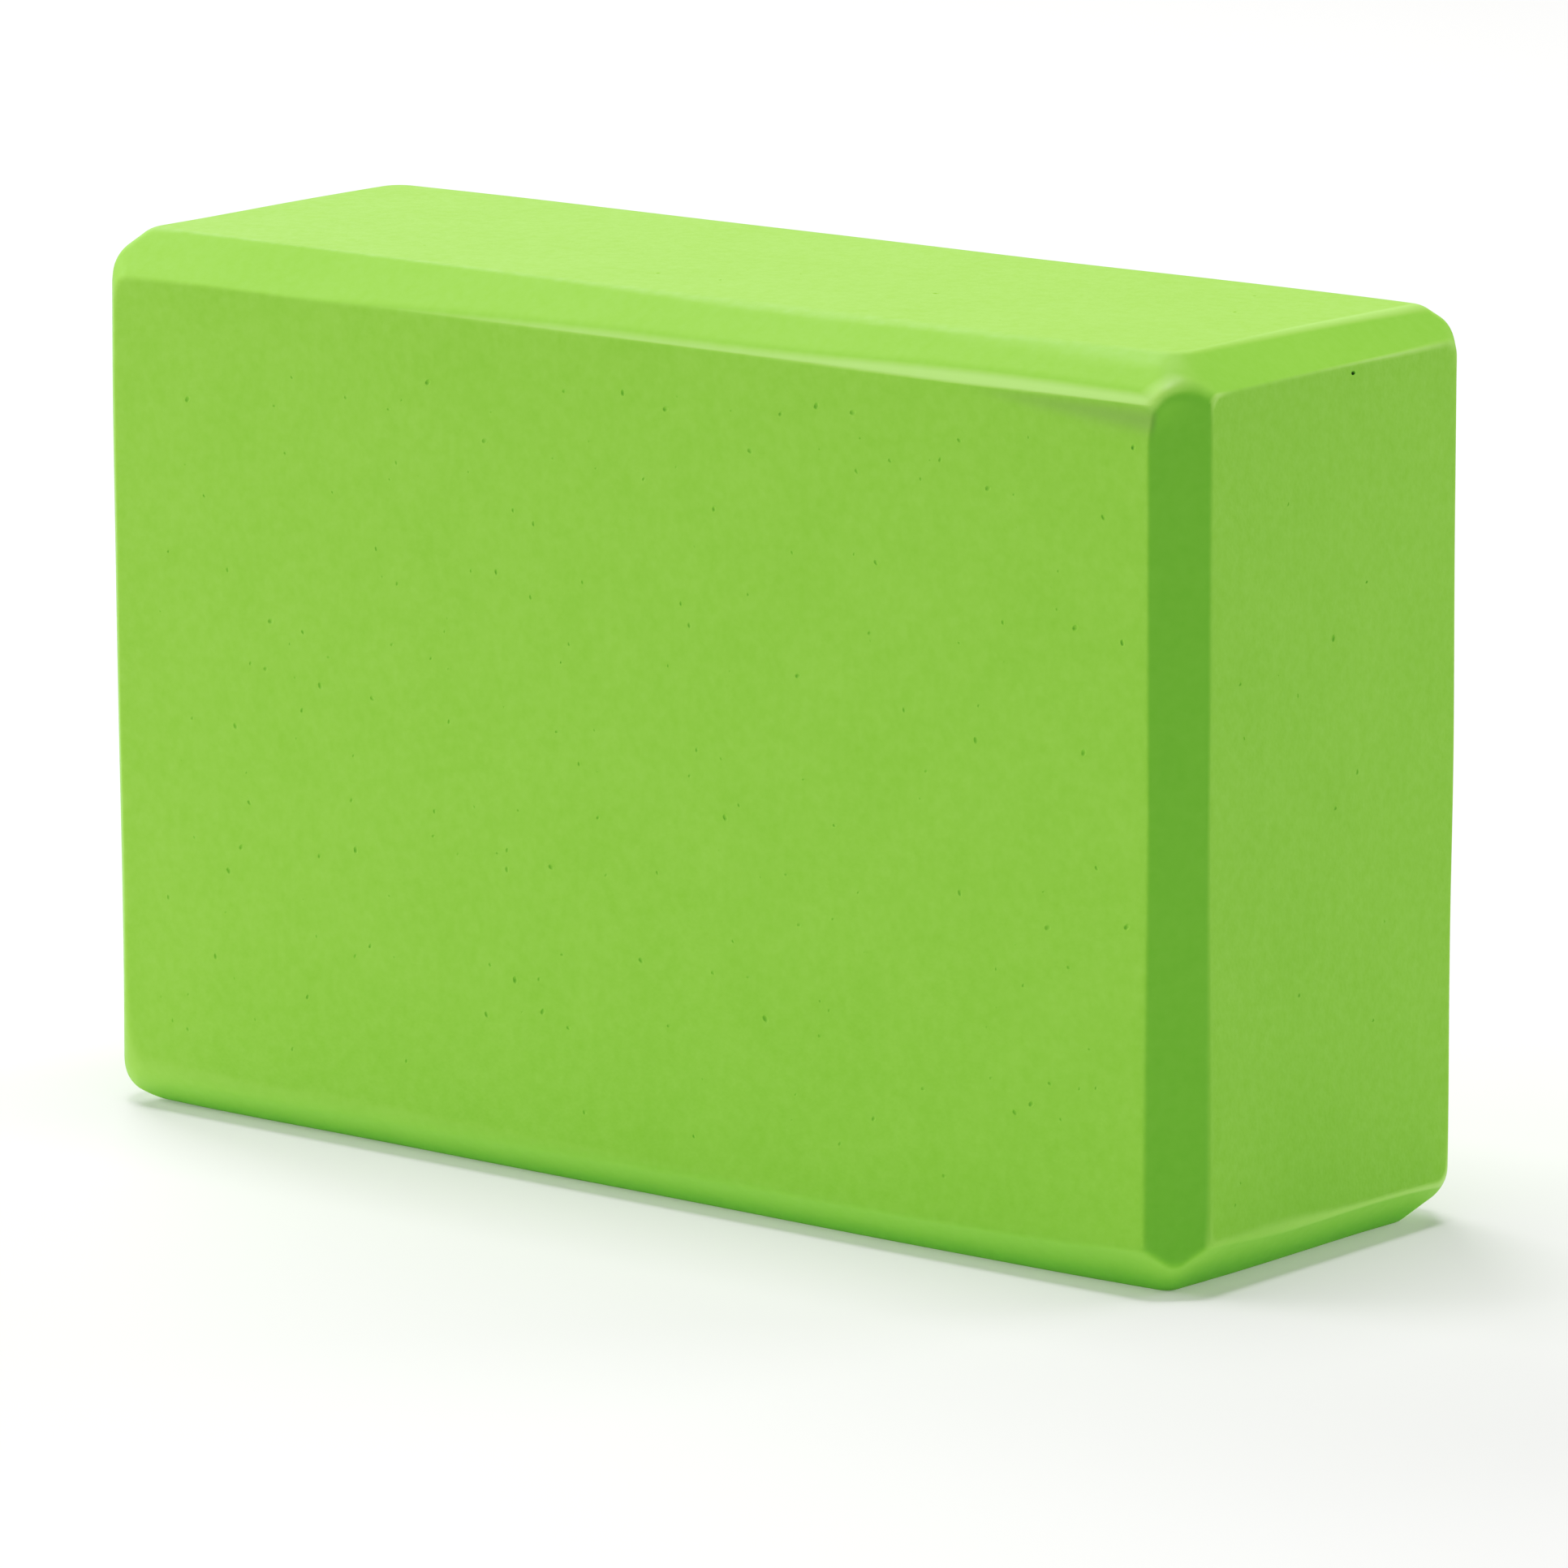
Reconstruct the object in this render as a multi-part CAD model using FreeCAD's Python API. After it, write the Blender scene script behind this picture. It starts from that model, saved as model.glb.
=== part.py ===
import FreeCAD, Part
import os

# Yoga block: one solid piece of closed-cell foam, bevelled along all twelve edges.
# Sizes are in millimetres. The block stands on one of its two long narrow faces.
# +X runs along its length, +Y through its thickness, away from the front face, and +Z is up.
# The origin is at the centre of the face that it stands on.

# Sawn blank
LENGTH = 230.0
THICKNESS = 78.0
HEIGHT = 150.0

# Legs of the 45 degree bevels, one size for each direction that the trimming blade runs in
LONG_EDGE_BEVEL = 7.2
SHORT_EDGE_BEVEL = 6.2
UPRIGHT_EDGE_BEVEL = 6.5

# Rounding left by the trim: the mitres at the corners are duller than the arrises round each face
MITRE_RADIUS = 4.0
ARRIS_RADIUS = 1.5

ALONG_LENGTH = FreeCAD.Vector(1, 0, 0)
ALONG_THICKNESS = FreeCAD.Vector(0, 1, 0)
ALONG_HEIGHT = FreeCAD.Vector(0, 0, 1)
PARALLEL_TOLERANCE = 1e-6


def parallel(direction, other):
    """True where two unit vectors lie along the same line."""
    return direction.cross(other).Length < PARALLEL_TOLERANCE


def square_to_blank(direction):
    """True where a unit vector lies along one of the blank's own three directions."""
    return any(parallel(direction, way) for way in (ALONG_LENGTH, ALONG_THICKNESS, ALONG_HEIGHT))


def sawn_blank():
    """The square-edged foam blank, standing on the origin."""
    corner = FreeCAD.Vector(-LENGTH / 2, -THICKNESS / 2, 0)
    return Part.makeBox(LENGTH, THICKNESS, HEIGHT, corner)


def trimmed(blank, direction, leg):
    """The blank with a 45 degree bevel along the four edges that run in one direction."""
    edges = [edge for edge in blank.Edges if parallel(edge.Curve.Direction, direction)]
    return blank.makeChamfer(leg, edges)


def bevelled_block():
    """What all three trims leave. Each runs right through, so the bevels meet in mitres."""
    blank = sawn_blank()
    block = trimmed(blank, ALONG_LENGTH, LONG_EDGE_BEVEL)
    block = block.common(trimmed(blank, ALONG_THICKNESS, SHORT_EDGE_BEVEL))
    block = block.common(trimmed(blank, ALONG_HEIGHT, UPRIGHT_EDGE_BEVEL))
    return block.removeSplitter()


def foam_block():
    """The block with its mitres rounded first, and then the arris all round each of its six faces."""
    block = bevelled_block()
    mitres = [edge for edge in block.Edges if not square_to_blank(edge.Curve.Direction)]
    block = block.makeFillet(MITRE_RADIUS, mitres)
    planes = [face for face in block.Faces if isinstance(face.Surface, Part.Plane)]
    faces = [plane for plane in planes if square_to_blank(plane.Surface.Axis)]
    arrises = [edge for face in faces for edge in face.Edges]
    return block.makeFillet(ARRIS_RADIUS, arrises)


os.makedirs("parts", exist_ok=True)
foam_block().exportStep("parts/foam_block.step")
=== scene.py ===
"""A closed-cell foam yoga block, and the plain stage that it is shown on.

The block is one piece of EVA foam: skived flat on six sides, trimmed to a bevel along its twelve edges,
with the arrises and mitres dulled by wear and with open cells in its faces. Highlights are painted pale
along its arrises and mitres, and shade is painted dark in its deepest open cells. It stands for the plain
solid in the frame.
"""

import math
from dataclasses import dataclass

import bpy
import numpy as np
from bpy.props import FloatProperty, FloatVectorProperty, IntProperty, PointerProperty
from mathutils import Matrix, Vector


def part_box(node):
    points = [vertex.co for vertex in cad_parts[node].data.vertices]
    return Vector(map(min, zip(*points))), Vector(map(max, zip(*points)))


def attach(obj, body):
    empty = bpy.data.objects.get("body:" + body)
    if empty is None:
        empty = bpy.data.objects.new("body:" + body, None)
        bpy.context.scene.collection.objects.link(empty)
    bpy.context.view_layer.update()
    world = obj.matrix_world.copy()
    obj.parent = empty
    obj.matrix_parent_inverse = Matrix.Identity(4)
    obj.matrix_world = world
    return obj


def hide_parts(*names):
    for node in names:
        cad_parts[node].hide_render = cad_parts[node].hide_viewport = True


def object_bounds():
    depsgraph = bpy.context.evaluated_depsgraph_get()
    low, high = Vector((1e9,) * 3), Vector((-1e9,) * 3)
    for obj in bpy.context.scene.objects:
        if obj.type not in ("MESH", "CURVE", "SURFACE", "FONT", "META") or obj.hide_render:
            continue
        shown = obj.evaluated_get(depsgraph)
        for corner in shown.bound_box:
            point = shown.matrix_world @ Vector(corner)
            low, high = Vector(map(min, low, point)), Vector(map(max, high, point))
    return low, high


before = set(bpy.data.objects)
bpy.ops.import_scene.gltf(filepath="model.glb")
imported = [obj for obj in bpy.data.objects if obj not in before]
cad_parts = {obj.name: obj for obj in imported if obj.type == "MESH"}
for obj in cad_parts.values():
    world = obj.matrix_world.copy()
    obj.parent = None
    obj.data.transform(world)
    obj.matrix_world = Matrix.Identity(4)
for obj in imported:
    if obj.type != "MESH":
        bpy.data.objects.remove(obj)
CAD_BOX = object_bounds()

bl_info = {
    "name": "Foam yoga block",
    "version": (1, 0, 0),
    "blender": (4, 5, 0),
    "location": "3D View > Sidebar > Yoga block",
    "description": "Builds a bevelled block of closed-cell foam and a plain studio stage round it",
    "category": "Add Mesh",
}

MM = 0.001
NODE = "foam_block"
BODY = "root"

# The three axes of the block, and for the edges along each of them the two axes that they lie across
LENGTHWISE, THROUGH, UPWARD = 0, 1, 2
ACROSS = {LENGTHWISE: (THROUGH, UPWARD), THROUGH: (LENGTHWISE, UPWARD), UPWARD: (LENGTHWISE, THROUGH)}
LOW_SIDE, HIGH_SIDE = 0, 1

# Millimetres that the trim cut more or less than the common leg, edge by edge.
# Each row is one direction of edge: low-low, low-high, high-low and high-high on the two axes across it.
UNEVEN_TRIM = {
    LENGTHWISE: ((-0.1, 0.1), (0.0, -0.2)),
    THROUGH: ((0.8, 0.3), (1.4, -0.1)),
    UPWARD: ((-0.7, 0.0), (0.6, -0.5)),
}

# How the trim wanders along an edge, and how the skived faces undulate, except close to the base
TRIM_WANDER = 0.25 * MM
TRIM_WAVE = 75 * MM
FACE_HOLLOW = 0.12 * MM
FACE_WAVE = 95 * MM
BASE_RISE = 8 * MM

# How much the rounding of an arris varies along it, and the least that it comes down to
ARRIS_VARIATION = 0.3
SHARPEST_ARRIS = 0.3 * MM

# A bevel of 45 degrees leaves an arris, and a mitre between two bevels turns by 60 degrees.
# A rounding of radius r then starts where the two planes are this many times r apart.
ARRIS_BLEND = 0.293
MITRE_BLEND = 0.5

# A narrow facet is burnished between the front and the bevel over it, deeper towards the right end.
# The bevel was trimmed higher there by the rise, so the facet's lower edge runs nearly straight.
LIP_TURN = math.radians(22.5)
LIP_DEPTH = 0.55 * MM
LIP_RISE = 1.25 * MM
LIP_LENGTH = 190 * MM
LIP_TAPER = 0.3
LIP_BLEND = 0.4 * MM
LIP_EDGE = 0.12 * MM
LIP_FADE = 0.5 * MM
LIP_SHARPENING = 0.4

# A second facet lies between that bevel and the top near the right end, turned this far from level
SHOULDER_TURN = math.radians(29)
SHOULDER_DEPTH = 0.95 * MM
SHOULDER_LENGTH = 76 * MM

# Bevels lie at 45 degrees, but the one over the right end was trimmed flatter halfway along it
BEVEL_TURN = math.radians(45)
END_FLATTENING = math.radians(9)
END_FLAT_REACH = 20 * MM

# Over an upright bevel the level bevels are painted pale in a band, as a painted highlight.
# It ends this far past the mitre, and fades over this length before that.
DOME_BAND = 3.4 * MM
DOME_FADE = 2.0 * MM

# How far past the mitre over an upright bevel a level bevel is wholly itself
LEVEL_EDGE = 0.7 * MM

# How far from an arris its painted highlight shows, in blends, and how pale the light from the floor is
# painted on the bevels round the base
ARRIS_REACH = 1.6
BASE_FLOOR_LIGHT = 0.3

# The front is dented just under its lip: how deep, how far below the top, and how long and wide
DENT_DEPTH = 0.3 * MM
DENT_DROP = 8.1 * MM
DENT_FALL = 1.9 * MM
DENT_LENGTH = 42 * MM
DENT_WIDTH = (0.5 * MM, 1.5 * MM)
DENT_REACH = 0.9 * MM

# Mesh lines, measured from the edge of the blank: across the bevel, round the arris, and out onto the flat
BEVEL_STEP = 0.5 * MM
ARRIS_START = 4.2 * MM
ARRIS_END = 12.6 * MM
ARRIS_STEP = 0.35 * MM
EASING_STEPS = (0.6 * MM, 1.6 * MM, 3.2 * MM, 5.4 * MM)
FLAT_STEP = 4.5 * MM

# How often the way from the blank to the trimmed surface is halved
SETTLE_ROUNDS = 28

# Open cells: the corners of a pit, how oval it is, the room that it needs, and its levels as shares of its
# radius and depth
PORE_CORNERS = 14
PORE_TURNS = (np.arange(PORE_CORNERS) + 0.5) / PORE_CORNERS * 2 * math.pi - math.pi
PORE_OVAL = 0.18
PORE_ROOM = 1.35
PORE_LEVELS = ((0.8, 0.5), (0.5, 0.85))

# Scattered open cells: how far they keep from the edges, how their widths vary, and depth as a share of width
PORE_SEED = 11
PORE_MARGIN = 13 * MM
PORE_SPREAD = 0.38
PORE_LIMITS = (0.3 * MM, 1.1 * MM)
PORE_DEPTH = 0.18

# An open cell this deep has shade painted dark at its bottom, and shallower ones much less so
PORE_DARK_DEPTH = 0.8 * MM
PORE_DARK_POWER = 4

# The open cells that stand out, as millimetres along the face, up from its middle, across, and deep
FRONT_PORES = (
    (42, 61, 1.1, 0.22), (31, -40, 1.2, 0.24), (104, -15, 1.1, 0.22), (2, 59, 1.0, 0.2),
    (5, -34, 1.0, 0.2), (-22, -41, 1.1, 0.22), (38, 17, 1.0, 0.2), (-14, -21, 1.0, 0.2),
    (-85, -31, 1.1, 0.22), (103, 30, 1.0, 0.2), (67, 55, 0.8, 0.13), (74, 11, 1.0, 0.2),
    (105, 61, 0.9, 0.2),
)
END_PORES = ((4.9, 68, 0.85, 0.8), (8.8, 34, 0.5, 0.15))

# What the material reads from the mesh: bevels, polished arrises with painted highlights, the greyer dent
# under the lip, and painted shade inside open cells
FINISH_MARKS = ("trimmed", "rub_and_highlight", "greyed_under_lip", "pit_shade")

# Foam patterns: widths in millimetres, and how fine and how strong each of them is
CELL_WIDTH = 0.7
CELL_DEPTH = 0.12 * MM
CELL_RELIEF = 0.25
MELTED_RELIEF = 0.08
GRAIN_WIDTH = 1.8
GRAIN_DETAIL = 3.0
MOTTLE_WIDTH = 14
MOTTLE_DETAIL = 2.0
MOTTLE_STRENGTH = 0.5
SHIFT_RANGE = (0.3, 1.2)

# Foam finishes, painted highlights and the greyer dent: how far each takes the colour over, and how rough or
# smooth the foam is
MELT_STRENGTH = 0.4
HIGHLIGHT_STRENGTH = 0.9
UNDER_LIP_STRENGTH = 0.9
SKIVED_ROUGHNESS = 0.62
GRAIN_ROUGHNESS = 0.16
TRIM_GLOSS = 0.06
RUB_GLOSS = 0.2
EVA_IOR = 1.48
FOAM_SPECULAR = 0.25

# Sockets of a colour mix: its two colours and its result
MIX_A, MIX_B, MIX_OUT = 6, 7, 2

# Paper: the width of its fibres in millimetres, and the side of the sheet in metres
PAPER_IOR = 1.45
PAPER_ROUGHNESS = (0.8, 0.95)
FIBRE_WIDTH = 2.0
FIBRE_DETAIL = 2.0
FLOOR_SIDE = 5.0
WHITE = (1, 1, 1, 1)

# Camera: the width of its frame in millimetres, and how far it stands off the line to the block's middle
SENSOR_WIDTH = 36.0
CAMERA_SLIDE = (2.51 * MM, -11.47 * MM)

# Tone of the picture: the brightness that turns white, and the curve below it, for all three colours at once
ALL_COLOURS = 3
TONE_WHITE = 1.326
TONE_POINTS = ((0.0715, 0.06), (0.165, 0.2), (0.339, 0.45), (0.658, 0.75))


@dataclass
class WearAndHighlightSpot:
    """A place where the block has wear, an uneven trim or a painted highlight, in shares of its half size,
    and its reach in mm.

    It adds millimetres to the rounding of arrises, of mitres between level bevels, and of the mitres at
    either end of an upright bevel, and to the legs of level and of upright bevels. It paints highlights pale
    on the arrises and mitres, and on the dome over an upright bevel.
    """

    sides: tuple
    reach: tuple
    arris: float = 0.0
    mitre: float = 0.0
    upright_mitre: float = 0.0
    leg: float = 0.0
    upright_leg: float = 0.0
    pale: float = 0.0
    dome: float = 0.0


WEAR_AND_HIGHLIGHT_SPOTS = (
    # The front's top edge, and the dome over the upright bevel at its right end, which has a highlight
    # painted pale
    WearAndHighlightSpot((0.3, -0.82, 1), (30, 4, 4), arris=4.0),
    WearAndHighlightSpot((-0.6, -1, 0.95), (16, 6, 6), leg=0.4),
    WearAndHighlightSpot((1, -1, 1), (12, 12, 12), mitre=7.0, upright_mitre=2.0),
    WearAndHighlightSpot((0.945, -1, 0.945), (3.5, 3.5, 3), upright_leg=-2.0),
    WearAndHighlightSpot((0.95, -1, 0.95), (7, 4, 7), dome=1.0),
    # The bevels of the right end, and the upright arris beside it, with highlights painted pale along their
    # arrises and a painted glint where they meet
    WearAndHighlightSpot((0.95, 0.4, 1), (4, 25, 4), arris=0.8, pale=0.75),
    WearAndHighlightSpot((0.97, 0, 0.98), (8, 20, 8), leg=0.4),
    WearAndHighlightSpot((1, 0.2, 0.92), (3.5, 30, 3.5), arris=-0.6),
    WearAndHighlightSpot((1, 0.35, 0.92), (3.5, 12, 3.5), pale=0.4),
    WearAndHighlightSpot((1, -0.83, 0.92), (2, 2, 2), pale=0.8),
    WearAndHighlightSpot((1, 0.3, -0.9), (3.5, 30, 3.5), pale=0.9),
    WearAndHighlightSpot((1, -0.83, 0), (3, 3, 200), pale=0.2),
    WearAndHighlightSpot((1, 1, -0.6), (9, 9, 60), upright_leg=0.65),
    # The bottom corner in front, and the bottom edge towards the left, with a highlight painted pale along
    # that edge
    WearAndHighlightSpot((1, -1, -1), (14, 14, 14), mitre=2.0, leg=1.7, upright_leg=0.4),
    WearAndHighlightSpot((1, -0.35, -0.9), (4, 10, 4), arris=2.2),
    WearAndHighlightSpot((-0.7, -1, -0.94), (80, 6, 6), arris=4.0, leg=-0.8, pale=0.25),
    # The other corners, with a highlight painted pale at the bottom corner at the back of the right end
    WearAndHighlightSpot((1, 1, 1), (12, 12, 12), arris=1.3, mitre=1.2, upright_mitre=3.3, leg=-0.4),
    WearAndHighlightSpot(
        (-1, -1, 1), (13.7, 13.7, 13.7), arris=0.5, mitre=1.6, upright_mitre=4.3, leg=0.4, upright_leg=0.15,
    ),
    WearAndHighlightSpot((-0.94, -0.5, 1), (4, 14, 4), arris=2.5),
    WearAndHighlightSpot((-1, 1, 1), (16, 16, 16), arris=3.0, mitre=5.0, upright_mitre=4.0),
    WearAndHighlightSpot(
        (-1, -1, -1), (12, 12, 12), arris=5.2, mitre=1.1, upright_mitre=4.2, leg=-0.2, upright_leg=-0.1,
    ),
    WearAndHighlightSpot(
        (1, 1, -1), (9.9, 9.9, 9.9), arris=0.6, mitre=13.2, upright_mitre=4.5, leg=-1.2, upright_leg=0.5,
        pale=0.5,
    ),
    WearAndHighlightSpot((-1, 1, -1), (14, 14, 14), arris=3.0, mitre=4.0, upright_mitre=4.0),
)


@dataclass
class Softbox:
    """A softbox that faces the block: degrees from its front and above it, and metres."""

    name: str
    azimuth: float
    elevation: float
    distance: float
    width: float
    height: float


SOFTBOXES = (
    Softbox("front_softbox", -60, 20, 2.7, 1.35, 1.35),
    Softbox("back_softbox", 150, 15, 2.7, 1.35, 1.35),
    Softbox("left_softbox", -120, 40, 2.7, 1.35, 1.35),
    Softbox("top_softbox", 0, 88, 2.7, 1.35, 1.35),
)


def linear(code):
    """The linear colour of an sRGB hex code such as #90ce59."""
    levels = [int(code[start:start + 2], 16) / 255 for start in (1, 3, 5)]
    return tuple(v / 12.92 if v <= 0.04045 else ((v + 0.055) / 1.055) ** 2.4 for v in levels)


def length_setting(name, millimetres, description):
    """A size in metres that the panel shows in the scene's unit."""
    return FloatProperty(
        name=name, description=description, default=millimetres * MM, min=0.0, precision=4,
        subtype="DISTANCE", unit="LENGTH",
    )


def count_setting(name, count, description):
    """A number of things."""
    return IntProperty(name=name, description=description, default=count, min=0)


def colour_setting(name, code, description):
    """A colour whose default is an sRGB hex code."""
    return FloatVectorProperty(
        name=name, description=description, default=linear(code), min=0.0, max=1.0, size=3, subtype="COLOR",
    )


def angle_setting(name, degrees, description):
    """An angle that the panel shows in degrees."""
    return FloatProperty(
        name=name, description=description, default=math.radians(degrees), subtype="ANGLE", unit="ROTATION",
    )


def radiance_setting(name, radiance, description):
    """The radiance of a softbox, of the floor's glow or of the backdrop."""
    return FloatProperty(name=name, description=description, default=radiance, min=0.0)


class FoamBlockSettings(bpy.types.PropertyGroup):
    """Sizes and colours of the foam block."""

    long_bevel: length_setting("Long bevels", 7.2, "Leg of the bevel along the four long edges")
    short_bevel: length_setting("Short bevels", 6.2, "Leg of the bevel along the edges through the thickness")
    upright_bevel: length_setting("Upright bevels", 6.5, "Leg of the bevel along the four upright edges")
    arris_radius: length_setting("Arris radius", 1.1, "Rounding where a bevel meets a face")
    mitre_radius: length_setting("Mitre radius", 2.0, "Rounding where two bevels meet")
    pore_size: length_setting("Open cell", 0.6, "Usual width of an open cell in a face")
    broad_pores: count_setting("Open cells, broad face", 240, "Open cells in each of the two broad faces")
    end_pores: count_setting("Open cells, end", 14, "Open cells in each of the two ends")
    narrow_pores: count_setting("Open cells, narrow face", 10, "Open cells in the top, and in the base")
    foam_colour: colour_setting("Foam", "#93d057", "Colour of a skived face")
    cell_colour: colour_setting("Cell walls", "#89c649", "Darker colour between the cells")
    # Painted shade: the dark colour at the bottom of open cells
    pit_shade_colour: colour_setting("Open cells", "#1c3410", "Colour inside an open cell")
    melted_colour: colour_setting("Melted", "#85d14e", "Deeper colour where the trim melted the cells shut")
    # Painted highlight colour, on the lip, arrises, mitres, the dome and the bevels round the base
    highlight_colour: colour_setting("Rubbed", "#b1ed79", "Paler colour where an arris is rubbed round")
    # The dent under the lip is greyer and darker: this colour is mixed in there
    under_lip_colour: colour_setting("Scuff", "#84a45e", "Greyed colour where the foam was scuffed")


class StageSettings(bpy.types.PropertyGroup):
    """Floor, light and camera."""

    floor_colour: colour_setting("Floor", "#e3e3e1", "Colour of the floor")
    floor_glow: radiance_setting("Floor glow", 0.158, "Even light from the floor, as from a light table")
    backdrop: radiance_setting("Backdrop", 1.4, "Brightness of the white round the floor")
    front_softbox: radiance_setting("Front softbox", 8.8, "Brightness of the softbox in front at the left")
    back_softbox: radiance_setting("Back softbox", 6.61, "Brightness of the low softbox behind at the right")
    left_softbox: radiance_setting("Left softbox", 7.27, "Brightness of the high softbox behind at the left")
    top_softbox: radiance_setting("Top softbox", 13.18, "Brightness of the softbox overhead")
    camera_azimuth: angle_setting("Camera azimuth", 39.251, "Turn of the camera from the block's front")
    camera_elevation: angle_setting("Camera elevation", 11.612, "Angle of the camera above the block")
    camera_roll: angle_setting("Camera roll", -0.231, "Lean of the camera")
    camera_distance: length_setting("Camera distance", 1723.6, "From the camera to the middle of the block")
    camera_lens: FloatProperty(
        name="Lens", description="Focal length on a frame 36 mm wide", default=240.38, min=1.0,
        subtype="DISTANCE_CAMERA",
    )


@dataclass
class BlockForm:
    """What the trim leaves of the blank, in metres about the middle of the block."""

    half: np.ndarray
    legs: dict
    arris: float
    mitre: float


def waves(points, wavelength):
    """A gentle unevenness from -1 to 1, of about this wavelength, and the same each run.

    Its three waves run across one another at odd steps, so that no repeat shows.
    """
    x, y, z = points.T * (2 * math.pi / wavelength)
    first = np.sin(x + 1.7 * np.sin(0.63 * z + 0.4))
    second = np.sin(0.83 * y + 1.1 * z + 2.1)
    third = np.sin(0.71 * z - 0.57 * x + 4.2)
    return (first + second + third) / 3


def smooth_largest(first, second, blend):
    """The larger of two distances, rounded off where they differ by less than the blend."""
    nearness = np.maximum(blend - np.abs(first - second), 0) / blend
    return np.maximum(first, second) + nearness ** 2 * blend / 4


def bell(square):
    """A bell curve over the square of a distance: 1 at none, and next to nothing at nine or more."""
    return np.exp(-0.5 * square)


def spot_wear_and_highlights(points, form):
    """What the spots add at each point: five lengths, in metres, and two painted highlights as palenesses
    from 0 to 1.
    """
    lengths = np.zeros((5, len(points)))
    palenesses = np.zeros((2, len(points)))
    for spot in WEAR_AND_HIGHLIGHT_SPOTS:
        away = (points - form.half * spot.sides) / (np.array(spot.reach) * MM)
        share = bell((away ** 2).sum(axis=1))
        roundings = (spot.arris, spot.mitre, spot.upright_mitre)
        lengths += np.outer((*roundings, spot.leg, spot.upright_leg), share) * MM
        palenesses += np.outer((spot.pale, spot.dome), share)
    return (*lengths, *np.clip(palenesses, 0, 1))


def burnish(points, form):
    """From 0 to 1, how far the front's top edge is burnished to a lip, along the block."""
    along = np.clip((points[:, LENGTHWISE] - form.half[LENGTHWISE]) / LIP_LENGTH + 1, 0, 1)
    return along ** LIP_TAPER


def lip_cut(points, form):
    """How deep the lip's facet is cut under the arris, which is less than nothing where the lip fades out."""
    share = burnish(points, form)
    return LIP_DEPTH * share - LIP_BLEND * (1 - share)


def bevel_rise(points, form):
    """How much higher the bevel over the front was trimmed, so that the lip's lower edge runs straight."""
    return LIP_RISE * np.clip(lip_cut(points, form) / LIP_DEPTH, 0, 1)


def lip(points, form):
    """How far each point is outside the facet between the front and the bevel over it."""
    front = -points[:, THROUGH] - form.half[THROUGH]
    leg = form.legs[LENGTHWISE][LOW_SIDE, HIGH_SIDE] - bevel_rise(points, form)
    top = points[:, UPWARD] - form.half[UPWARD] + leg
    return math.cos(LIP_TURN) * front + math.sin(LIP_TURN) * top + lip_cut(points, form)


def shoulder(points, form):
    """How far each point is outside the facet between the bevel over the front and the top."""
    share = np.clip((points[:, LENGTHWISE] - form.half[LENGTHWISE]) / SHOULDER_LENGTH + 1, 0, 1)
    leg = form.legs[LENGTHWISE][LOW_SIDE, HIGH_SIDE] - bevel_rise(points, form)
    front = -points[:, THROUGH] - form.half[THROUGH] + leg
    top = points[:, UPWARD] - form.half[UPWARD]
    facet = math.sin(SHOULDER_TURN) * front + math.cos(SHOULDER_TURN) * top
    return facet + SHOULDER_DEPTH * share - LIP_BLEND * (1 - share)


def dent(points, form):
    """From 0 to 1, the shallow dent in the front under its lip, wider and lower towards the right end."""
    along = np.clip((points[:, LENGTHWISE] - form.half[LENGTHWISE]) / DENT_LENGTH + 1, 0, 1)
    middle = form.half[UPWARD] - DENT_DROP - DENT_FALL * along
    width = DENT_WIDTH[0] + (DENT_WIDTH[1] - DENT_WIDTH[0]) * along
    up_and_down = bell(((points[:, UPWARD] - middle) / width) ** 2)
    on_front = np.clip(1 - (points[:, THROUGH] + form.half[THROUGH]) / DENT_REACH, 0, 1)
    return along * (2 - along) * up_and_down * on_front


@dataclass
class Cuts:
    """How far each point is outside the nearest face, bevel and lip, how those meet and wear, and where
    highlights are painted pale.
    """

    face: np.ndarray
    bevel: np.ndarray
    lip: np.ndarray
    past_bevels: np.ndarray
    arris_blend: np.ndarray
    mitre_blend: np.ndarray
    between_level: np.ndarray
    past_upright: np.ndarray
    # Painted highlights: pale on arrises and mitres, and on the dome over an upright bevel
    pale: np.ndarray
    dome: np.ndarray

    def outside(self):
        """How far each point is outside the block."""
        return smooth_largest(self.face, self.bevel, self.arris_blend)


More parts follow.
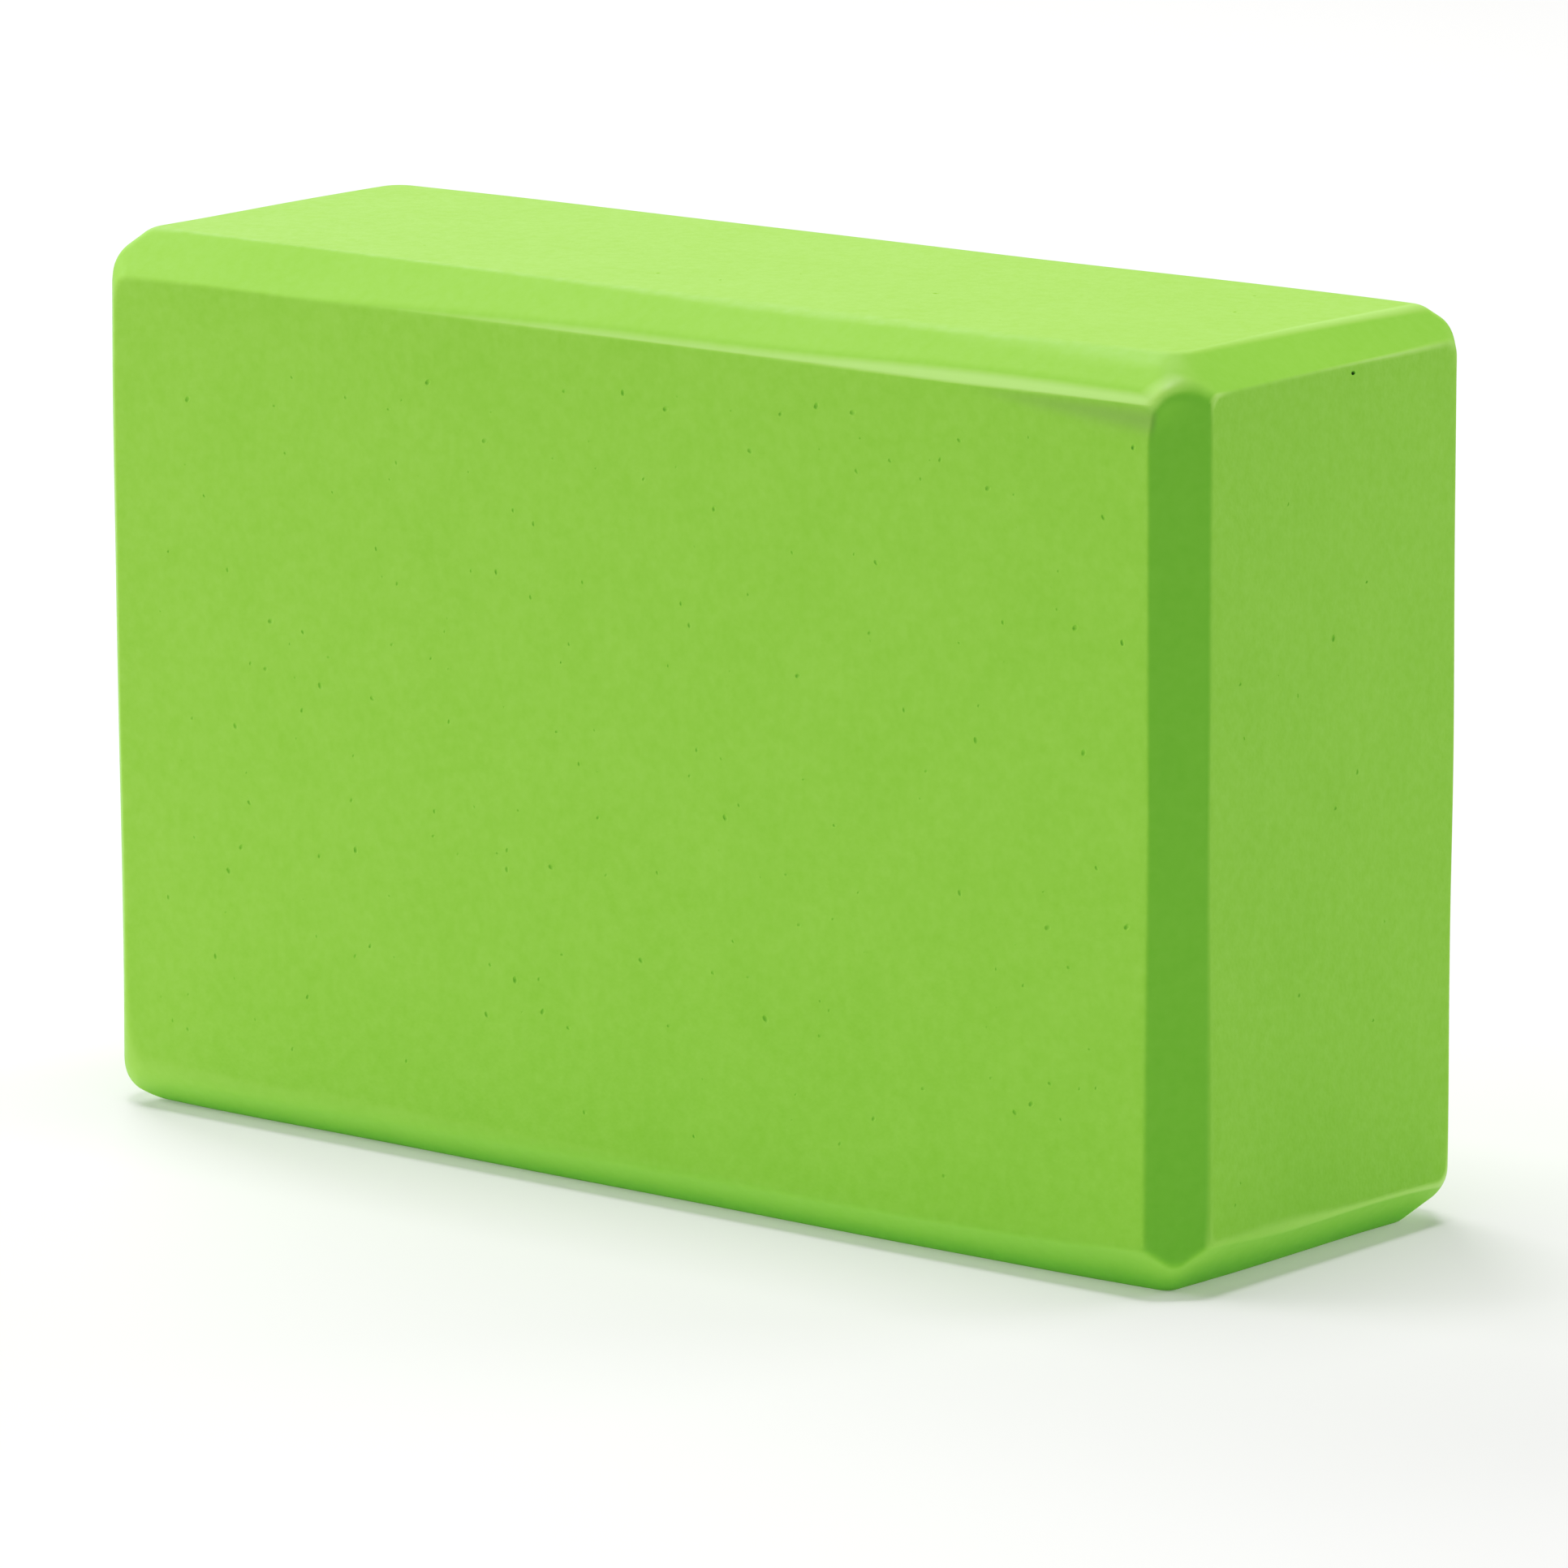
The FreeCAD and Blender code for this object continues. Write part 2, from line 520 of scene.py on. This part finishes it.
def cuts_at(points, form):
    """The cuts that made the block, as they stand at each point."""
    reach = np.abs(points) - form.half
    side = np.where(points > 0, HIGH_SIDE, LOW_SIDE)
    wander = TRIM_WANDER * waves(points, TRIM_WAVE)
    more_arris, more_mitre, more_upright, more_leg, more_upright_leg, pale, dome = spot_wear_and_highlights(points, form)
    over_front = (side[:, THROUGH] == LOW_SIDE) & (side[:, UPWARD] == HIGH_SIDE)
    burnished = burnish(points, form) * over_front
    more_long_leg = more_leg - bevel_rise(points, form) * over_front
    over_end = (side[:, LENGTHWISE] == HIGH_SIDE) & (side[:, UPWARD] == HIGH_SIDE)
    flatter = END_FLATTENING * bell((points[:, THROUGH] / END_FLAT_REACH) ** 2) * over_end
    turns = {LENGTHWISE: BEVEL_TURN, THROUGH: BEVEL_TURN + flatter, UPWARD: BEVEL_TURN}
    trims = {}
    for axis, more in ((LENGTHWISE, more_long_leg), (THROUGH, more_leg), (UPWARD, more_upright_leg)):
        first, second = ACROSS[axis]
        leg = form.legs[axis][side[:, first], side[:, second]] + wander + more
        past_first = reach[:, first] + leg / 2
        past_second = reach[:, second] + leg / 2
        trims[axis] = np.cos(turns[axis]) * past_first + np.sin(turns[axis]) * past_second
    on_lip = lip(points, form)
    past_bevels = on_lip - np.max(list(trims.values()), axis=0)
    for facet in (shoulder(points, form), on_lip):
        trims[LENGTHWISE] = smooth_largest(trims[LENGTHWISE], facet, LIP_BLEND)
    mitre_blend = MITRE_BLEND * (form.mitre + more_mitre)
    level = smooth_largest(trims[LENGTHWISE], trims[THROUGH], mitre_blend)
    off_base = np.clip((points[:, UPWARD] + form.half[UPWARD]) / BASE_RISE, 0, 1)
    hollow = FACE_HOLLOW * (0.5 + 0.5 * waves(points, FACE_WAVE)) * off_base
    arris = form.arris * (1 + ARRIS_VARIATION * waves(points, TRIM_WAVE)) + more_arris
    arris *= 1 - LIP_SHARPENING * burnished * (reach[:, THROUGH] > reach[:, UPWARD])
    return Cuts(
        face=reach.max(axis=1) + hollow + DENT_DEPTH * dent(points, form),
        bevel=smooth_largest(level, trims[UPWARD], MITRE_BLEND * (form.mitre + more_upright)),
        lip=on_lip,
        past_bevels=past_bevels,
        arris_blend=ARRIS_BLEND * np.maximum(arris, SHARPEST_ARRIS),
        mitre_blend=mitre_blend,
        between_level=np.abs(trims[LENGTHWISE] - trims[THROUGH]),
        past_upright=level - trims[UPWARD],
        pale=pale,
        dome=dome,
    )


def settle(blank_points, form):
    """The points of the trimmed surface under points of the square blank, and the way in from each."""
    core = form.half - ARRIS_END - EASING_STEPS[-1]
    inward = np.clip(blank_points, -core, core) - blank_points
    outer = np.zeros(len(blank_points))
    inner = np.ones(len(blank_points))
    for _ in range(SETTLE_ROUNDS):
        middle = (outer + inner) / 2
        still_out = cuts_at(blank_points + inward * middle[:, None], form).outside() > 0
        outer = np.where(still_out, middle, outer)
        inner = np.where(still_out, inner, middle)
    direction = inward / np.linalg.norm(inward, axis=1)[:, None]
    return blank_points + inward * outer[:, None], direction


def mesh_lines(size):
    """Where the mesh is cut along one side of the blank, from its middle."""
    bevel = np.arange(0, ARRIS_START - BEVEL_STEP / 2, BEVEL_STEP)
    arris = np.arange(ARRIS_START, ARRIS_END, ARRIS_STEP)
    easing = ARRIS_END + np.array(EASING_STEPS)
    rim = np.concatenate((bevel, arris, easing))
    cells = round((size - 2 * rim[-1]) / FLAT_STEP)
    flat = np.linspace(rim[-1], size - rim[-1], cells + 1)[1:-1]
    return np.concatenate((rim, flat, size - rim[::-1])) - size / 2


def collar(sides, rim, places):
    """Triangles between a pit's rim and the four sides of the mesh round it, in turn from the lowest.

    Each side goes to the point of the rim that is nearest to it, and the rim between two such points goes to
    the corner between the two sides.
    """
    along, up = places.T
    nearest = [up.argmin(), along.argmax(), up.argmax(), along.argmin()]
    triangles = []
    for side, place, until in zip(sides, nearest, nearest[1:] + nearest[:1]):
        triangles += [(start, end, rim[place]) for start, end in zip(side, side[1:])]
        while place != until:
            following = (place + 1) % len(rim)
            triangles.append((side[-1], rim[following], rim[place]))
            place = following
    return triangles


class FoamSkin:
    """The surface of the block while it is made: points, faces, and how much painted shade each point in a
    pit takes.
    """

    def __init__(self, form):
        self.form = form
        self.lines = [mesh_lines(2 * half) for half in form.half]
        grid = np.stack(np.meshgrid(*self.lines, indexing="ij"), axis=-1)
        outside = np.zeros(grid.shape[:3], bool)
        for axis in range(3):
            np.moveaxis(outside, axis, 0)[[0, -1]] = True
        self.numbers = np.full(outside.shape, -1)
        self.numbers[outside] = np.arange(outside.sum())
        surface, _ = settle(grid[outside], form)
        self.points = [surface]
        self.count = len(surface)
        self.pit_shade = [np.zeros(len(surface))]
        self.on_rim = [np.zeros(len(surface), bool)]
        self.faces = []

    def add_points(self, points, depth):
        """Keeps new points of a pit with their painted shade, from 0 on its rim to 1 where it is darkest, and
        gives their numbers.
        """
        self.points.append(points)
        self.pit_shade.append(np.full(len(points), depth))
        self.on_rim.append(np.full(len(points), depth == 0))
        self.count += len(points)
        return list(range(self.count - len(points), self.count))

    def rims(self, axis, end, pits, rng):
        """The rims of one side's pits, each a ring of points on the surface, and the ways in from them."""
        first, second = ACROSS[axis]
        middles = np.array([pit[:2] for pit in pits])
        widths = np.array([width for *_, width, _ in pits])
        lean = rng.uniform(0, math.pi, len(pits))
        radius = widths[:, None] / 2 * (1 + PORE_OVAL * np.cos(2 * (PORE_TURNS - lean[:, None])))
        rims = np.zeros((len(pits), PORE_CORNERS, 3))
        rims[..., axis] = self.form.half[axis] * (1 if end == HIGH_SIDE else -1)
        rims[..., first] = middles[:, :1] + radius * np.cos(PORE_TURNS)
        rims[..., second] = middles[:, 1:] + radius * np.sin(PORE_TURNS)
        settled, inward = settle(rims.reshape(-1, 3), self.form)
        return settled.reshape(rims.shape), inward.reshape(rims.shape)

    def pit(self, axis, end, pit, rim, inward, taken):
        """Opens one cell in a side of the block, unless another pit already has the room."""
        *middle, width, deep = pit
        first, second = ACROSS[axis]
        room = PORE_ROOM * width / 2
        spans = []
        for line, at in ((self.lines[first], middle[0]), (self.lines[second], middle[1])):
            low = np.searchsorted(line, at - room) - 1
            high = np.searchsorted(line, at + room)
            spans.append((low, high))
        (low_u, high_u), (low_v, high_v) = spans
        if taken[low_u:high_u, low_v:high_v].any():
            return
        taken[low_u:high_u, low_v:high_v] = True
        sheet = self.numbers.take(0 if end == LOW_SIDE else -1, axis=axis)
        block = sheet[low_u:high_u + 1, low_v:high_v + 1]
        sides = [side.tolist() for side in (block[:, 0], block[-1], block[::-1, -1], block[0, ::-1])]
        centre = rim.mean(axis=0)
        way_in = inward.mean(axis=0)
        way_in = way_in / np.linalg.norm(way_in)
        # Painted shade at the bottom of the pit: dark in deep pits, much less in shallow ones
        shade = min(deep / PORE_DARK_DEPTH, 1.0) ** PORE_DARK_POWER
        ring = self.add_points(rim, 0.0)
        triangles = collar(sides, ring, rim[:, [first, second]])
        walls = []
        for share, depth in PORE_LEVELS:
            lower = self.add_points(centre + (rim - centre) * share + way_in * depth * deep, depth * shade)
            walls += [(*pair, *reversed(below)) for pair, below in zip(pairs(ring), pairs(lower))]
            ring = lower
        bottom = self.add_points((centre + way_in * deep)[None], shade)[0]
        walls += [(*pair, bottom) for pair in pairs(ring)]
        flipped = faces_inward(axis, end)
        self.faces += [turned(face, flipped) for face in triangles + walls]

    def side(self, axis, end, pits, rng):
        """One side of the block with its pits, each given by its place, its width and its depth."""
        sheet = self.numbers.take(0 if end == LOW_SIDE else -1, axis=axis)
        taken = np.zeros((sheet.shape[0] - 1, sheet.shape[1] - 1), bool)
        for pit, rim, inward in zip(pits, *self.rims(axis, end, pits, rng)):
            self.pit(axis, end, pit, rim, inward, taken)
        corners = np.stack((sheet[:-1, :-1], sheet[1:, :-1], sheet[1:, 1:], sheet[:-1, 1:]), axis=-1)
        flipped = faces_inward(axis, end)
        self.faces += [turned(face, flipped) for face in corners[~taken].tolist()]


def pairs(ring):
    """Each point of a closed ring with the next one."""
    return list(zip(ring, ring[1:] + ring[:1]))


def faces_inward(axis, end):
    """True where faces laid out along a side's two axes look into the block and have to be turned over."""
    return (end == HIGH_SIDE) == (axis == THROUGH)


def turned(face, flipped):
    """A face, turned over where it looks the wrong way."""
    return tuple(reversed(face)) if flipped else tuple(face)


def scattered_pits(form, axis, count, width, rng):
    """Places, widths and depths of open cells at random over the flat of one side."""
    limits = [form.half[across] - PORE_MARGIN for across in ACROSS[axis]]
    widths = np.clip(width * np.exp(rng.normal(0, PORE_SPREAD, count)), *PORE_LIMITS)
    return [
        (rng.uniform(-limits[0], limits[0]), rng.uniform(-limits[1], limits[1]), across, PORE_DEPTH * across)
        for across in widths
    ]


def foam_skin(form, settings):
    """The whole surface of the block, with its open cells."""
    rng = np.random.default_rng(PORE_SEED)
    skin = FoamSkin(form)
    counts = {THROUGH: settings.broad_pores, LENGTHWISE: settings.end_pores, UPWARD: settings.narrow_pores}
    chosen = {(THROUGH, LOW_SIDE): FRONT_PORES, (LENGTHWISE, HIGH_SIDE): END_PORES}
    for axis, count in counts.items():
        for end in (LOW_SIDE, HIGH_SIDE):
            pits = [tuple(length * MM for length in pit) for pit in chosen.get((axis, end), ())]
            pits += scattered_pits(form, axis, count, settings.pore_size, rng)
            skin.side(axis, end, pits, rng)
    return skin


def finish_marks(points, form):
    """How trimmed the surface is at each point, how polished and painted with highlights, and how greyed in
    the dent under the lip, from 0 to 1.
    """
    cuts = cuts_at(points, form)
    past_arris = (cuts.bevel - cuts.face) / cuts.arris_blend
    trimmed = np.clip(past_arris / 2 + 0.5, 0, 1)
    near_arris = np.clip(ARRIS_REACH - np.abs(past_arris), 0, 1)
    past_upright = cuts.past_upright / LEVEL_EDGE
    on_level = np.clip(past_upright, 0, 1) * trimmed
    on_dome = np.clip(past_upright + 1, 0, 1) * trimmed
    near_mitre = np.clip(1 - cuts.between_level / cuts.mitre_blend, 0, 1)
    over_upright = np.clip((DOME_BAND - cuts.past_upright) / DOME_FADE, 0, 1)
    near_base = np.clip(2 - (points[:, UPWARD] + form.half[UPWARD]) / BASE_RISE, 0, 1)
    above_front = np.clip((cuts.lip - cuts.face) / LIP_EDGE + 0.5, 0, 1)
    below_bevel = np.clip(cuts.past_bevels / LIP_FADE, 0, 1)
    # Painted highlights: on the lip, along arrises and mitres, on the dome over an upright bevel, and painted
    # light from the floor on the bevels round the base
    rub_and_highlight = np.max((
        above_front * below_bevel * burnish(points, form),
        np.maximum(near_arris, near_mitre * on_level) * cuts.pale,
        over_upright * on_dome * cuts.dome,
        near_base * on_level * BASE_FLOOR_LIGHT,
    ), axis=0)
    # Greyer and darker in the dent under the lip, below the lip's facet
    greyed_under_lip = dent(points, form) * (1 - above_front)
    return {"trimmed": trimmed, "rub_and_highlight": rub_and_highlight, "greyed_under_lip": greyed_under_lip}


def add_node(tree, kind, inputs=None, **settings):
    """A new node with its settings, and with its inputs set to a value or linked to another node's output."""
    node = tree.nodes.new(kind)
    for name, value in settings.items():
        setattr(node, name, value)
    for socket, value in (inputs or {}).items():
        if isinstance(value, bpy.types.NodeSocket):
            tree.links.new(value, node.inputs[socket])
        else:
            node.inputs[socket].default_value = value
    return node


def per_metre(millimetres):
    """The scale of a pattern whose cells are this wide."""
    return 1 / (millimetres * MM)


def skived_eva_foam(settings):
    """Closed-cell EVA foam, skived on its faces and trimmed along its edges.

    Skiving slices the cells open, so a face is matt with a fine grain, a faint mottle and a few wide open
    cells. The trimmer melts the cells shut on the bevels, and wear polishes the arrises further, so those
    are smoother and catch a soft light. Highlights are painted pale on the lip, arrises, mitres and the dome
    over an upright bevel, light from the floor is painted pale on the bevels round the base, shade is painted
    dark in deep open cells, and the dent under the lip is greyer.
    """
    material = bpy.data.materials.new("EVA foam, skived and trimmed")
    material.use_nodes = True
    tree = material.node_tree
    tree.nodes.clear()
    place = add_node(tree, "ShaderNodeTexCoord").outputs["Object"]
    marks = {}
    for name in FINISH_MARKS:
        marks[name] = add_node(tree, "ShaderNodeAttribute", attribute_name=name).outputs["Fac"]

    # Real cells are about 0.25 mm wide, too fine to show here, so they are drawn 0.7 mm wide
    cells = add_node(tree, "ShaderNodeTexVoronoi", {"Vector": place, "Scale": per_metre(CELL_WIDTH)})
    grain = add_node(
        tree, "ShaderNodeTexNoise",
        {"Vector": place, "Scale": per_metre(GRAIN_WIDTH), "Detail": GRAIN_DETAIL},
    )
    mottle = add_node(
        tree, "ShaderNodeTexNoise",
        {"Vector": place, "Scale": per_metre(MOTTLE_WIDTH), "Detail": MOTTLE_DETAIL},
    )

    # Colour: the grain and the mottle shift the foam a little, then the trim, the painted highlights, the
    # greyer dent under the lip and the painted shade in the pits cover it
    shift = add_node(
        tree, "ShaderNodeMath",
        {0: mottle.outputs["Fac"], 1: MOTTLE_STRENGTH, 2: grain.outputs["Fac"]}, operation="MULTIPLY_ADD",
    )
    share = add_node(
        tree, "ShaderNodeMapRange",
        {"Value": shift.outputs["Value"], "From Min": SHIFT_RANGE[0], "From Max": SHIFT_RANGE[1]},
    )
    foam = add_node(
        tree, "ShaderNodeMix",
        {0: share.outputs["Result"], MIX_A: (*settings.foam_colour, 1), MIX_B: (*settings.cell_colour, 1)},
        data_type="RGBA",
    )
    melt = add_node(tree, "ShaderNodeMath", {0: marks["trimmed"], 1: MELT_STRENGTH}, operation="MULTIPLY")
    melted = add_node(
        tree, "ShaderNodeMix",
        {0: melt.outputs["Value"], MIX_A: foam.outputs[MIX_OUT], MIX_B: (*settings.melted_colour, 1)},
        data_type="RGBA",
    )
    # Painted highlights: a paler colour on the lip, the arrises, the mitres, the dome and the bevels round
    # the base
    pale = add_node(tree, "ShaderNodeMath", {0: marks["rub_and_highlight"], 1: HIGHLIGHT_STRENGTH}, operation="MULTIPLY")
    rub_and_highlight = add_node(
        tree, "ShaderNodeMix",
        {0: pale.outputs["Value"], MIX_A: melted.outputs[MIX_OUT], MIX_B: (*settings.highlight_colour, 1)},
        data_type="RGBA",
    )
    # The dent under the lip is greyer and darker
    under_lip_grey = add_node(tree, "ShaderNodeMath", {0: marks["greyed_under_lip"], 1: UNDER_LIP_STRENGTH}, operation="MULTIPLY")
    highlit_and_greyed = add_node(
        tree, "ShaderNodeMix",
        {0: under_lip_grey.outputs["Value"], MIX_A: rub_and_highlight.outputs[MIX_OUT], MIX_B: (*settings.under_lip_colour, 1)},
        data_type="RGBA",
    )
    # Painted shade: the colour goes dark towards the bottom of deep open cells
    colour = add_node(
        tree, "ShaderNodeMix",
        {0: marks["pit_shade"], MIX_A: highlit_and_greyed.outputs[MIX_OUT], MIX_B: (*settings.pit_shade_colour, 1)},
        data_type="RGBA",
    )

    # Gloss: matt on the skived faces, smoother on the bevels, smoothest on the rubbed arrises
    skived = add_node(
        tree, "ShaderNodeMath",
        {0: grain.outputs["Fac"], 1: GRAIN_ROUGHNESS, 2: SKIVED_ROUGHNESS}, operation="MULTIPLY_ADD",
    )
    bevel = add_node(
        tree, "ShaderNodeMath",
        {0: marks["trimmed"], 1: -TRIM_GLOSS, 2: skived.outputs["Value"]}, operation="MULTIPLY_ADD",
    )
    roughness = add_node(
        tree, "ShaderNodeMath",
        {0: marks["rub_and_highlight"], 1: -RUB_GLOSS, 2: bevel.outputs["Value"]}, operation="MULTIPLY_ADD",
    )

    # Relief: sliced cells on the faces, fading out on the bevels where they are melted shut
    smoothness = add_node(
        tree, "ShaderNodeMath", {0: marks["trimmed"], 1: marks["rub_and_highlight"]}, operation="MAXIMUM",
    )
    relief = add_node(
        tree, "ShaderNodeMapRange",
        {"Value": smoothness.outputs["Value"], "To Min": CELL_RELIEF, "To Max": MELTED_RELIEF},
    )
    bump = add_node(
        tree, "ShaderNodeBump",
        {"Strength": relief.outputs["Result"], "Distance": CELL_DEPTH, "Height": cells.outputs["Distance"]},
    )
    shader = add_node(
        tree, "ShaderNodeBsdfPrincipled",
        {
            "Base Color": colour.outputs[MIX_OUT], "Roughness": roughness.outputs["Value"],
            "Normal": bump.outputs["Normal"], "IOR": EVA_IOR, "Specular IOR Level": FOAM_SPECULAR,
        },
    )
    add_node(tree, "ShaderNodeOutputMaterial", {"Surface": shader.outputs["BSDF"]})
    return material


def matt_paper(settings):
    """Heavy matt paper, calendered, on a light table: an even pale ground with no gloss and little grain."""
    material = bpy.data.materials.new("Paper, matt calendered")
    material.use_nodes = True
    tree = material.node_tree
    tree.nodes.clear()
    place = add_node(tree, "ShaderNodeTexCoord").outputs["Object"]
    fibre = add_node(
        tree, "ShaderNodeTexNoise",
        {"Vector": place, "Scale": per_metre(FIBRE_WIDTH), "Detail": FIBRE_DETAIL},
    )
    roughness = add_node(
        tree, "ShaderNodeMapRange",
        {"Value": fibre.outputs["Fac"], "To Min": PAPER_ROUGHNESS[0], "To Max": PAPER_ROUGHNESS[1]},
    )
    shader = add_node(
        tree, "ShaderNodeBsdfPrincipled",
        {
            "Base Color": (*settings.floor_colour, 1), "Roughness": roughness.outputs["Result"],
            "IOR": PAPER_IOR, "Emission Color": WHITE, "Emission Strength": settings.floor_glow,
        },
    )
    add_node(tree, "ShaderNodeOutputMaterial", {"Surface": shader.outputs["BSDF"]})
    return material


def new_object(name, data):
    """An object in the scene's own collection."""
    made = bpy.data.objects.new(name, data)
    bpy.context.scene.collection.objects.link(made)
    return made


def block_form(settings):
    """The trimmed block, from the box that its solid fills in the frame, and the middle of that box."""
    low, high = (np.array(corner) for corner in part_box(NODE))
    common = {LENGTHWISE: settings.long_bevel, THROUGH: settings.short_bevel, UPWARD: settings.upright_bevel}
    legs = {axis: leg + np.array(UNEVEN_TRIM[axis]) * MM for axis, leg in common.items()}
    form = BlockForm(
        half=(high - low) / 2, legs=legs, arris=settings.arris_radius, mitre=settings.mitre_radius,
    )
    return form, (low + high) / 2


class MESH_OT_foam_block_add(bpy.types.Operator):
    """Add the foam block in the place of its plain solid"""

    bl_idname = "mesh.foam_block_add"
    bl_label = "Foam block"

    def execute(self, context):
        settings = context.scene.foam_block
        form, middle = block_form(settings)
        skin = foam_skin(form, settings)
        points = np.concatenate(skin.points)
        mesh = bpy.data.meshes.new("bevelled_foam_block")
        mesh.from_pydata((points + middle).tolist(), [], skin.faces)
        if mesh.validate():
            raise RuntimeError("the foam block's mesh has faulty faces")
        mesh.polygons.foreach_set("use_smooth", [True] * len(skin.faces))
        on_rim = np.concatenate(skin.on_rim)
        ends = np.zeros(2 * len(mesh.edges), int)
        mesh.edges.foreach_get("vertices", ends)
        mesh.edges.foreach_set("use_edge_sharp", on_rim[ends].reshape(-1, 2).all(axis=1))
        marks = finish_marks(points, form)
        marks["pit_shade"] = np.concatenate(skin.pit_shade)
        for name in FINISH_MARKS:
            attribute = mesh.attributes.new(name, "FLOAT", "POINT")
            attribute.data.foreach_set("value", marks[name].astype(np.float32))
        mesh.materials.append(skived_eva_foam(settings))
        block = new_object("bevelled_foam_block", mesh)
        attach(block, BODY)
        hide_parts(NODE)
        return {"FINISHED"}


def compass(azimuth, elevation):
    """The way to something at an azimuth from the block's front, turning to its right, and an elevation."""
    level = math.cos(elevation)
    return Vector((math.sin(azimuth) * level, -math.cos(azimuth) * level, math.sin(elevation)))


def stand(azimuth, elevation, distance, target):
    """The matrix of something at that place that looks at the target with its own -Z, upright."""
    away = compass(azimuth, elevation)
    right = Vector((math.cos(azimuth), math.sin(azimuth), 0))
    turn = Matrix((right, away.cross(right), away)).transposed().to_4x4()
    return Matrix.Translation(target + away * distance) @ turn


def add_softbox(softbox, radiance, target):
    """A rectangular softbox of even brightness, out of the camera's sight."""
    light = bpy.data.lights.new(softbox.name, "AREA")
    light.shape = "RECTANGLE"
    light.size = softbox.width
    light.size_y = softbox.height
    light.energy = radiance * math.pi * softbox.width * softbox.height
    lamp = new_object(softbox.name, light)
    lamp.matrix_world = stand(
        math.radians(softbox.azimuth), math.radians(softbox.elevation), softbox.distance, target,
    )
    lamp.visible_camera = False


def add_floor(settings):
    """A wide sheet of pale paper under the block."""
    mesh = bpy.data.meshes.new("floor")
    reach = FLOOR_SIDE / 2
    corners = [(-reach, -reach, 0), (reach, -reach, 0), (reach, reach, 0), (-reach, reach, 0)]
    mesh.from_pydata(corners, [], [(0, 1, 2, 3)])
    mesh.materials.append(matt_paper(settings))
    floor = new_object("floor", mesh)
    floor.location.z = CAD_BOX[0].z


def add_backdrop(scene, radiance):
    """White all round the floor that is seen but lights nothing, because the softboxes give all the light."""
    world = bpy.data.worlds.new("backdrop")
    scene.world = world
    world.use_nodes = True
    background = world.node_tree.nodes["Background"]
    background.inputs["Color"].default_value = WHITE
    background.inputs["Strength"].default_value = radiance
    for ray in ("diffuse", "glossy", "transmission", "scatter"):
        setattr(world.cycles_visibility, ray, False)


def add_camera(settings, target):
    """The camera of the photograph: far off, with a long lens, and a little off the middle of the block."""
    lens = bpy.data.cameras.new("camera")
    lens.sensor_width = SENSOR_WIDTH
    lens.lens = settings.camera_lens
    lens.dof.use_dof = False
    camera = new_object("camera", lens)
    aim = stand(settings.camera_azimuth, settings.camera_elevation, settings.camera_distance, target)
    slide = Matrix.Translation((*CAMERA_SLIDE, 0))
    camera.matrix_world = aim @ slide @ Matrix.Rotation(settings.camera_roll, 4, "Z")
    bpy.context.scene.camera = camera


def set_tone(scene):
    """The contrast of a product photograph: deeper shadows and a soft shoulder up to white."""
    view = scene.view_settings
    view.view_transform = "Standard"
    view.look = "None"
    view.use_curve_mapping = True
    mapping = view.curve_mapping
    mapping.white_level = (TONE_WHITE,) * 3
    curve = mapping.curves[ALL_COLOURS]
    for x, y in TONE_POINTS:
        curve.points.new(x, y)
    mapping.update()


class SCENE_OT_block_stage_add(bpy.types.Operator):
    """Add the floor, the softboxes, the white backdrop and the camera"""

    bl_idname = "scene.block_stage_add"
    bl_label = "Studio stage"

    def execute(self, context):
        scene = context.scene
        settings = scene.block_stage
        target = (CAD_BOX[0] + CAD_BOX[1]) / 2
        add_floor(settings)
        for softbox in SOFTBOXES:
            add_softbox(softbox, getattr(settings, softbox.name), target)
        add_backdrop(scene, settings.backdrop)
        add_camera(settings, target)
        set_tone(scene)
        return {"FINISHED"}


class VIEW3D_PT_yoga_block(bpy.types.Panel):
    """The block's and the stage's settings, each above the button that builds it"""

    bl_label = "Yoga block"
    bl_space_type = "VIEW_3D"
    bl_region_type = "UI"
    bl_category = "Yoga block"

    def draw(self, context):
        for group, operator in ((context.scene.foam_block, "mesh.foam_block_add"),
                                (context.scene.block_stage, "scene.block_stage_add")):
            column = self.layout.column(align=True)
            for name in group.__annotations__:
                column.prop(group, name)
            column.operator(operator)


CLASSES = (
    FoamBlockSettings, StageSettings, MESH_OT_foam_block_add, SCENE_OT_block_stage_add, VIEW3D_PT_yoga_block,
)


def register():
    """Makes the classes and the scene's settings known to Blender."""
    for item in CLASSES:
        bpy.utils.register_class(item)
    bpy.types.Scene.foam_block = PointerProperty(type=FoamBlockSettings)
    bpy.types.Scene.block_stage = PointerProperty(type=StageSettings)


def unregister():
    """Takes the settings and the classes away again."""
    del bpy.types.Scene.block_stage
    del bpy.types.Scene.foam_block
    for item in reversed(CLASSES):
        bpy.utils.unregister_class(item)


def main():
    """Builds the block and its stage."""
    register()
    bpy.ops.mesh.foam_block_add()
    bpy.ops.scene.block_stage_add()


if __name__ == "__main__":
    main()
